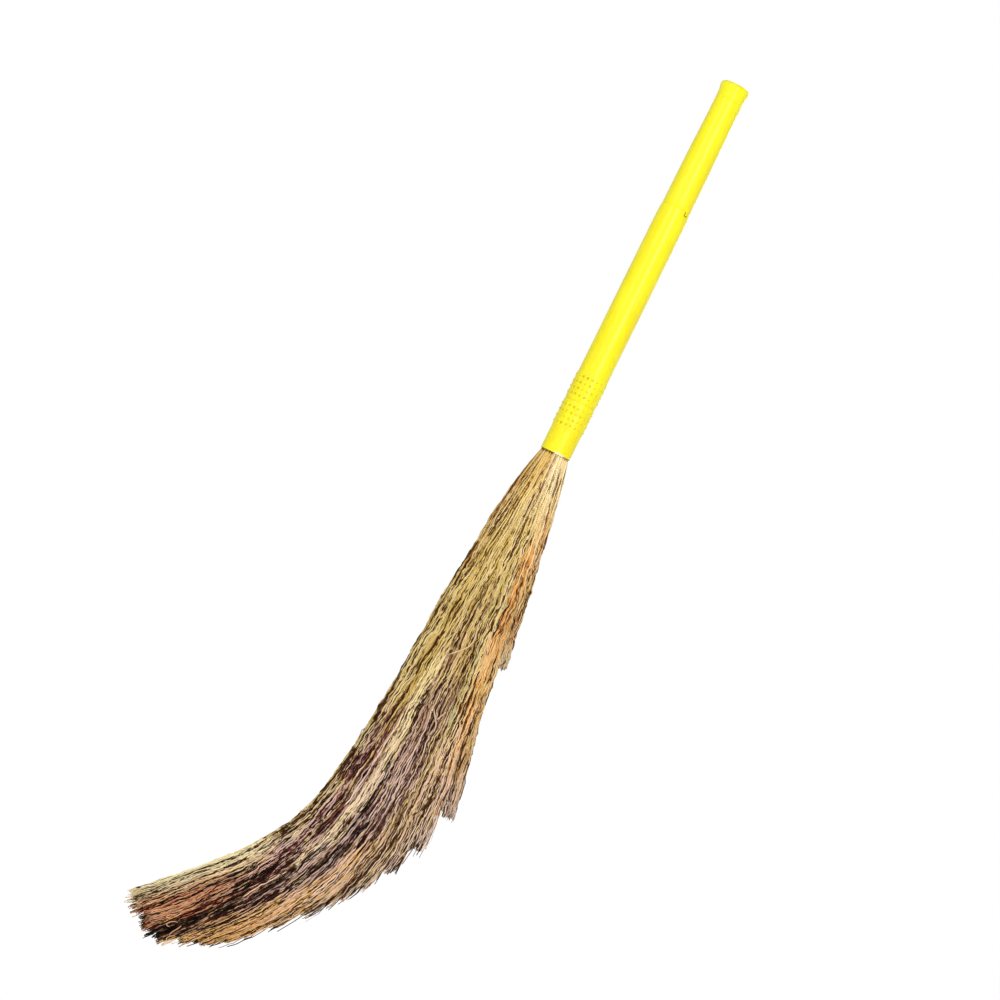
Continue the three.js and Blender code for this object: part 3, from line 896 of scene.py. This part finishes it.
# Paths of the grass: its place across the sleeve's mouth, and its share across the head further down
PATH_DISTANCES = [0, 0.05, 0.1, 0.2, 0.3, 0.4, 0.5, 0.6, 0.7, 0.77]
PATHS = [
    (-1.0, -1.05, -0.97, -0.92, -0.89, -0.97, -0.96, -0.97, -0.98, -1.0),
    (-0.85, -0.87, -0.82, -0.82, -0.83, -0.9, -0.88, -0.82, -0.78, -0.76),
    (-0.65, -0.66, -0.64, -0.67, -0.73, -0.79, -0.75, -0.6, -0.46, -0.41),
    (-0.4, -0.41, -0.41, -0.44, -0.5, -0.56, -0.52, -0.36, -0.2, -0.13),
    (-0.15, -0.15, -0.16, -0.19, -0.23, -0.26, -0.2, -0.05, 0.06, 0.11),
    (0.1, 0.1, 0.11, 0.12, 0.12, 0.12, 0.22, 0.3, 0.36, 0.4),
    (0.2, 0.21, 0.23, 0.26, 0.28, 0.3, 0.45, 0.52, 0.56, 0.6),
    (0.35, 0.37, 0.4, 0.48, 0.54, 0.6, 0.77, 0.84, 0.9, 0.9),
    (0.5, 0.53, 0.57, 0.69, 0.76, 0.92, 1.12, 1.18, 1.2, 1.2),
    (0.6, 0.62, 0.66, 0.8, 0.87, 1.13, 1.34, 1.45, 1.5, 1.5),
    (0.7, 0.72, 0.75, 0.88, 0.95, 1.3, 1.5, 1.5, 1.5, 1.5),
    (1.0, 0.97, 0.96, 0.99, 1.12, 1.5, 1.65, 1.65, 1.65, 1.65),
]

# Where the head is trimmed: from each place across the sleeve's mouth on, how far along the hairs end
TRIMS = [
    *((-1.0, 0.741), (-0.92, 0.746), (-0.78, 0.739), (-0.45, 0.732), (-0.3, 0.71), (-0.17, 0.693)),
    *((-0.09, 0.686), (-0.01, 0.667), (0.04, 0.641), (0.07, 0.609), (0.12, 0.571), (0.16, 0.547)),
    *((0.2, 0.53), (0.24, 0.51), (0.29, 0.481), (0.385, 0.452), (0.465, 0.406), (0.63, 0.237)),
]

path_roots = np.array([path[0] for path in PATHS])
path_grid = np.array([np.interp(line_along, PATH_DISTANCES, path) for path in PATHS])
# The paths are rounded over so many steps to either side, and run straight where that reaches past the mouth
ROUNDING = 45
window = np.hanning(2 * ROUNDING + 1)
window /= window.sum()
long_rows = [np.pad(row, ROUNDING, mode="edge") for row in path_grid]
path_grid = np.array([np.convolve(row, window, mode="valid") for row in long_rows])
path_grid[:, : ROUNDING + 1] = np.linspace(path_roots, path_grid[:, ROUNDING], ROUNDING + 1).T


def half_width(along):
    return PACKED_RADIUS + (HALF_WIDTH - PACKED_RADIUS) * (1 - np.exp(-along / WIDTH_REACH))


def half_depth(along):
    swelling = PACKED_RADIUS + (HALF_DEPTH - PACKED_RADIUS) * (1 - np.exp(-along / DEPTH_REACH))
    return swelling * (1 + (TIP_DEPTH_SHARE - 1) * smooth_share(along, BEND_START, HEAD_LENGTH))


def share_across(root, along):
    """Share across the head, this far down, of grass that leaves the mouth at root."""
    row = np.clip(np.interp(root, path_roots, np.arange(len(path_roots))), 0, len(path_roots) - 1.001)
    column = np.clip(along / LINE_STEP, 0, path_grid.shape[1] - 1.001)
    low_row, low_column = row.astype(int), column.astype(int)
    row_share, column_share = row - low_row, column - low_column

    def on_path(path):
        before, after = path_grid[path, low_column], path_grid[path, low_column + 1]
        return before * (1 - column_share) + after * column_share

    return on_path(low_row) * (1 - row_share) + on_path(low_row + 1) * row_share


def head_point(across, deep, along):
    """Where a place in the head is, from its shares across and into it and how far down it is."""
    angle = bend_angle(along)
    sideways = half_width(along) * across
    middle_x = np.interp(along, line_along, line_x)
    middle_z = np.interp(along, line_along, line_z)
    x = middle_x + np.cos(angle) * sideways
    z = middle_z - np.sin(angle) * sideways
    return np.stack([x, half_depth(along) * deep, z], axis=-1)


def grass_point(root, deep, along):
    """Where grass that leaves the mouth at these shares across and into it is, this far down."""
    return head_point(share_across(root, along), deep, along)


# What the finish reads of each strand: see dry_grass
FACTS = ("across", "along", "tone", "hue", "depth", "from_end", "place")


class Sheaf:
    """Gathers many thin closed strands into one mesh, with what each strand's colour needs."""

    def __init__(self, name):
        self.name = name
        self.points = []
        self.quads = []
        self.ends = []
        self.facts = []
        self.count = 0

    def add(self, line, radius, sides, place, across, along, tone, hue, depth, end):
        rings = len(line)
        heading = np.gradient(line, axis=0)
        heading /= np.linalg.norm(heading, axis=1, keepdims=True)
        sideways = np.cross(heading, [0.0, 1.0, 0.0])
        sideways /= np.linalg.norm(sideways, axis=1, keepdims=True)
        upwards = np.cross(sideways, heading)
        turn = chance.uniform(0, 2 * math.pi) + np.arange(sides) * 2 * math.pi / sides
        cosine, sine = np.cos(turn)[:, None], np.sin(turn)[:, None]
        ring = cosine * sideways[:, None] + sine * upwards[:, None]
        self.points.append((line[:, None] + ring * radius[:, None, None]).reshape(-1, 3))
        corner = np.arange(sides)
        after = (corner + 1) % sides
        base = self.count + sides * np.arange(rings - 1)[:, None]
        quad = [base + corner, base + after, base + sides + after, base + sides + corner]
        self.quads.append(np.stack(quad, axis=-1).reshape(-1, 4))
        self.ends.append(self.count + corner[::-1])
        self.ends.append(self.count + sides * (rings - 1) + corner)
        facts = np.empty((rings, sides, len(FACTS)), np.float32)
        for column, fact in enumerate((across, along, tone, hue, depth, end - along, place)):
            facts[..., column] = np.broadcast_to(fact, rings)[:, None]
        self.facts.append(facts.reshape(-1, len(FACTS)))
        self.count += rings * sides

    def make(self, material, slot, node):
        points = np.concatenate(self.points).astype(np.float32)
        quads = np.concatenate(self.quads)
        mesh = bpy.data.meshes.new(self.name)
        mesh.vertices.add(len(points))
        mesh.vertices.foreach_set("co", points.ravel())
        corners = np.concatenate([quads.ravel()] + self.ends)
        sizes = np.concatenate([np.full(len(quads), 4), [len(end) for end in self.ends]])
        starts = np.concatenate([[0], np.cumsum(sizes)[:-1]])
        mesh.loops.add(len(corners))
        mesh.loops.foreach_set("vertex_index", corners.astype(np.int32))
        mesh.polygons.add(len(sizes))
        mesh.polygons.foreach_set("loop_start", starts.astype(np.int32))
        mesh.polygons.foreach_set("use_smooth", np.ones(len(sizes), bool))
        facts = np.concatenate(self.facts)
        for column, fact in enumerate(FACTS):
            layer = mesh.attributes.new(fact, "FLOAT", "POINT")
            layer.data.foreach_set("value", np.ascontiguousarray(facts[:, column]))
        mesh.update()
        mesh.validate()
        piece = bpy.data.objects.new(self.name, mesh)
        bpy.context.scene.collection.objects.link(piece)
        finish_piece(piece, material, slot, node)


def kinked(line, size, slow):
    """Adds the small kinks and slow waves of dry grass to a line, none at its start."""
    count = len(line)
    ease = np.minimum(np.arange(count) / 5, 1)[:, None]
    kinks = shake.normal(0, size, (count, 3))
    steps = np.arange(count) / max(count - 1, 1)
    waves = np.zeros((count, 3))
    for axis in range(3):
        turns = shake.uniform(1.2, 5)
        waves[:, axis] = slow * np.sin(2 * math.pi * (turns * steps + shake.uniform()))
    return line + ease * (kinks + waves)


def tone_of(tuft_tone):
    """Tone that the hairs of a stalk share: most are middling, some pale, a few nearly black."""
    tone = chance.uniform(0, 0.15) if chance.uniform() < 0.13 else chance.beta(2.3, 1.9)
    return float(np.clip(tone + tuft_tone, 0, 1))


# Waves that the hairs of a tuft share: from and to how many in a metre, and how far they sway
WAVES = (
    ((7, 16), (0.0006, 0.0016)),
    ((26, 38), (0.0003, 0.0005)),
    ((62, 90), (0.00035, 0.0006)),
)
WAVE_STARTS = (0, 6.28)


class Tuft:
    """Grass that hangs together: its place in the head, its length and the slow wave it shares."""

    def __init__(self, quarter, share, outside):
        turn = (quarter + share - 0.5) * math.pi / 2
        reach = chance.uniform(0.89, 0.98) if outside else math.sqrt(chance.uniform(0.1, 0.9))
        self.fan = reach * math.cos(turn)
        self.deep = reach * math.sin(turn)
        self.root = fan_root(self.fan)
        self.spare = chance.uniform(-0.012, 0.003)
        self.tone = chance.uniform(-0.1, 0.1)
        self.shift = chance.normal(0, 0.03)
        self.waves = [
            (chance.uniform(*turns), chance.uniform(*WAVE_STARTS), chance.uniform(*sway))
            for turns, sway in WAVES
        ]

    def length_at(self, root):
        return [length for start, length in TRIMS if start <= root][-1] + self.spare

    def swayed(self, line, along):
        ease = smooth_share(along, 0.02, 0.14)
        moved = line.copy()
        for turns, start, sway in self.waves:
            moved[:, 0] += sway * ease * np.sin(2 * math.pi * along * turns + start)
            moved[:, 1] += sway * ease * np.sin(2 * math.pi * along * turns + 2.3 * start) * 0.7
        return moved


# Shares across the fanned head, read so many steps down it, of the paths
FAN_LEVEL = 300
fan_ends = np.where(path_roots < 0, path_grid[0, FAN_LEVEL], path_grid[-1, FAN_LEVEL])
fan_shares = path_grid[:, FAN_LEVEL] / np.abs(fan_ends)


def fan_root(fan):
    """Place across the mouth of grass whose share across the fanned head is this."""
    return np.interp(fan, fan_shares, path_roots)


def room_beside(across):
    return math.sqrt(max(0.0, 1 - min(1.0, abs(across)) ** 2))


def stalk_line(tuft, root, deep, end):
    """A stalk from its butt inside the sleeve to its end among the hairs, and how far down each point is."""
    along = np.linspace(STALK_START, end, int(end / STALK_STEP))
    straight = grass_point(np.full_like(along, root), deep, along)
    outside = kinked(tuft.swayed(straight, along), STALK_KINK, STALK_WAVE)
    x, y = root * BOUND_RADIUS, deep * BOUND_RADIUS
    inside = [(x, y, STALK_TOP), (x, y, MOUTH + 0.06), (x, y, MOUTH + 0.03)]
    mouth = grass_point(np.array([root]), deep, np.array([0.0]))
    down = np.concatenate([[MOUTH - point[2] for point in inside], [0.0], along])
    return np.concatenate([inside, mouth, outside]), down


def grow_stalk(tuft, sheaf):
    """A stalk of the tuft. Returns its share across the fan, across the mouth and in depth, and its tone."""
    fan = float(np.clip(tuft.fan + chance.normal(0, 0.06), -0.97, 0.97))
    root = float(fan_root(fan))
    room = room_beside(root)
    deep = float(np.clip(tuft.deep + chance.normal(0, 0.1), -room, room)) * 0.96
    end = tuft.length_at(root) * chance.uniform(0.5, 0.9)
    line, down = stalk_line(tuft, root, deep, end)
    radius = np.interp(down, [0, 0.1, end], [0.00118, 0.001, 0.0004]) * chance.uniform(0.8, 1.15)
    place = share_across(np.full_like(down, root), down)
    tone = tone_of(tuft.tone)
    # Stalks are never among the odd dark or pale hairs, nor very dark
    hue = (int(chance.uniform() * STRAY_TURNS) + 0.5) / STRAY_TURNS
    shown, reach = max(tone, DARKEST_STALK), math.hypot(fan, deep)
    sheaf.add(line, radius, STALK_SIDES, place, place + tuft.shift, down, shown, hue, reach, end)
    return fan, root, deep, tone


def grow_hair(tuft, stalk, outer, inner):
    """A hair that leaves its stalk on the way down, or at the mouth, and draws in again towards its end."""
    fan, root, deep, stalk_tone = stalk
    hair_fan = float(np.clip(fan + chance.normal(0, 0.065), -1, 1))
    room = room_beside(hair_fan)
    hair_deep = float(np.clip(deep + chance.normal(0, 0.12), -room, room))
    hair_root = float(fan_root(hair_fan))
    reach = math.hypot(hair_fan, hair_deep)
    outside = reach > OUTSIDE_REACH
    length = tuft.length_at(hair_root)
    start = max(0.0, chance.uniform(-0.22, 0.55)) ** 1.15 * length
    slip = chance.normal(0, 0.008)
    stop = length * (LONG_HAIR if slip > LONG_SLIP else 1 - abs(slip))
    if chance.uniform() < SHORT_HAIRS:
        stop *= chance.uniform(0.75, 0.97)
    steps = max(8, int((stop - start) / (OUTER_STEP if outside else INNER_STEP)))
    along = np.linspace(start, stop, steps)
    leave = smooth_share(along, start, start + LEAVE_LENGTH) if start > 0 else 1.0
    # A hair that outlasts its stalk by far doesn't turn back to it
    turn_back = TURN_BACK if length - tuft.length_at(root) < OUTLASTS else 0.0
    gather = 1 - smooth_share(along, stop - LEAVE_LENGTH, stop) * turn_back
    line_root = root + (hair_root - root) * leave * gather
    line_deep = deep + (hair_deep - deep) * leave * gather
    line = tuft.swayed(grass_point(line_root, line_deep, along), along)
    line = kinked(line, HAIR_KINK, chance.uniform(0.0003, 0.0011))
    taper = np.interp(np.linspace(0, 1, steps), [0, 0.06, 0.7, 1], [0.5, 1, 0.9, 0.6])
    radius = chance.uniform(0.0006, 0.001) * taper
    place = share_across(line_root, along)
    share = place + tuft.shift + chance.normal(0, 0.05)
    tone = 0.3 * stalk_tone + 0.7 * tone_of(tuft.tone)
    sheaf = outer if outside else inner
    sheaf.add(line, radius, HAIR_SIDES, place, share, along, tone, chance.uniform(), reach, stop)


def grow_bunch(quarter, tufts, hairs_on_stalk, stalks, outer, inner):
    """Stalks that run out of the sleeve, and the hairs that branch from them, for one quarter."""
    for number in range(tufts):
        tuft = Tuft(quarter, (number + chance.uniform(0.2, 0.8)) / tufts, number % 5 not in (1, 3))
        for _ in range(STALKS_IN_TUFT):
            stalk = grow_stalk(tuft, stalks)
            for _ in range(hairs_on_stalk):
                grow_hair(tuft, stalk, outer[number % len(outer)], inner[number % len(inner)])


# Hairs that lie astray on the front: corners of a smooth curve (share across the head, how far down), the
# share of the half depth at which it lies, its radius and its tone.
STRAYS = [
    (
        [(0.1, 0.2), (0.09, 0.214), (0.27, 0.226), (0.16, 0.232), (-0.06, 0.24), (-0.2, 0.248)],
        -1.08,
        0.0009,
        0.97,
    ),
    ([(0.02, 0.309), (0.06, 0.316), (0.16, 0.319), (0.2, 0.323), (0.19, 0.332)], -1.07, 0.0008, 1.0),
    ([(0.25, 0.306), (0.2, 0.312), (0.15, 0.318)], -1.07, 0.0008, 1.0),
    ([(-0.29, 0.699), (-0.36, 0.706), (-0.31, 0.716), (-0.26, 0.708)], -1.06, 0.0006, 1.0),
    ([(-0.22, 0.696), (-0.17, 0.702), (-0.19, 0.71), (-0.13, 0.712)], -1.06, 0.0006, 0.95),
    ([(-0.1, 0.706), (-0.15, 0.714), (-0.09, 0.72), (-0.06, 0.714)], -1.06, 0.0006, 0.9),
    ([(-0.42, 0.7), (-0.45, 0.708), (-0.4, 0.712), (-0.385, 0.704)], -1.06, 0.0006, 0.95),
]


def lay_strays(layer):
    for corners, deep, radius, tone in STRAYS:
        share = np.linspace(0, 1, STRAY_STEPS)[:, None]
        rows = [np.broadcast_to(np.array(corner), (STRAY_STEPS, 2)) for corner in corners]
        while len(rows) > 1:
            rows = [before * (1 - share) + after * share for before, after in zip(rows, rows[1:])]
        across, along = rows[0].T
        line = head_point(across, deep, along)
        taper = np.interp(share[:, 0], [0, 0.1, 0.9, 1], [0.5, 1, 1, 0.5])
        layer.add(line, radius * taper, STALK_SIDES, across, across, along, tone, 0.5, 1.0, 1.0)


# Quarter of the mouth, side, finish, number of tufts and of hairs on each stalk
BUNCHES = [
    (0, "right", "grass_rust", 17, 10),
    (1, "back", "grass_wine", 20, 9),
    (2, "left", "grass_straw", 17, 10),
    (3, "front", "grass_straw", 20, 9),
]


def model_grass():
    bases = {"grass_straw": (220, 188, 106), "grass_rust": (214, 172, 104), "grass_wine": (204, 172, 104)}
    finishes = {name: dry_grass(name, shade(*base)) for name, base in bases.items()}
    for quarter, side, slot, tufts, hairs in BUNCHES:
        stalks = Sheaf(f"stalks_{side}")
        outer = [Sheaf(f"outer_hair_{side}{part}") for part in ("", "_two", "_three")]
        inner = [Sheaf(f"inner_hair_{side}{part}") for part in ("", "_two")]
        grow_bunch(quarter, tufts, hairs, stalks, outer, inner)
        if side == "front":
            lay_strays(stalks)
        for sheaf in (stalks, *outer, *inner):
            sheaf.make(finishes[slot], slot, f"grass_bunch_{side}")


# The broom

set_camera()
set_studio()
plastic = yellow_plastic()
model_grip_sleeve(plastic)
model_upper_tube(plastic)
model_end_cap(plastic)
wire = drawn_wire()
for node in ("lower_binding", "upper_binding"):
    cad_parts[node].data.materials.clear()
    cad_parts[node].data.materials.append(wire)
model_grass()
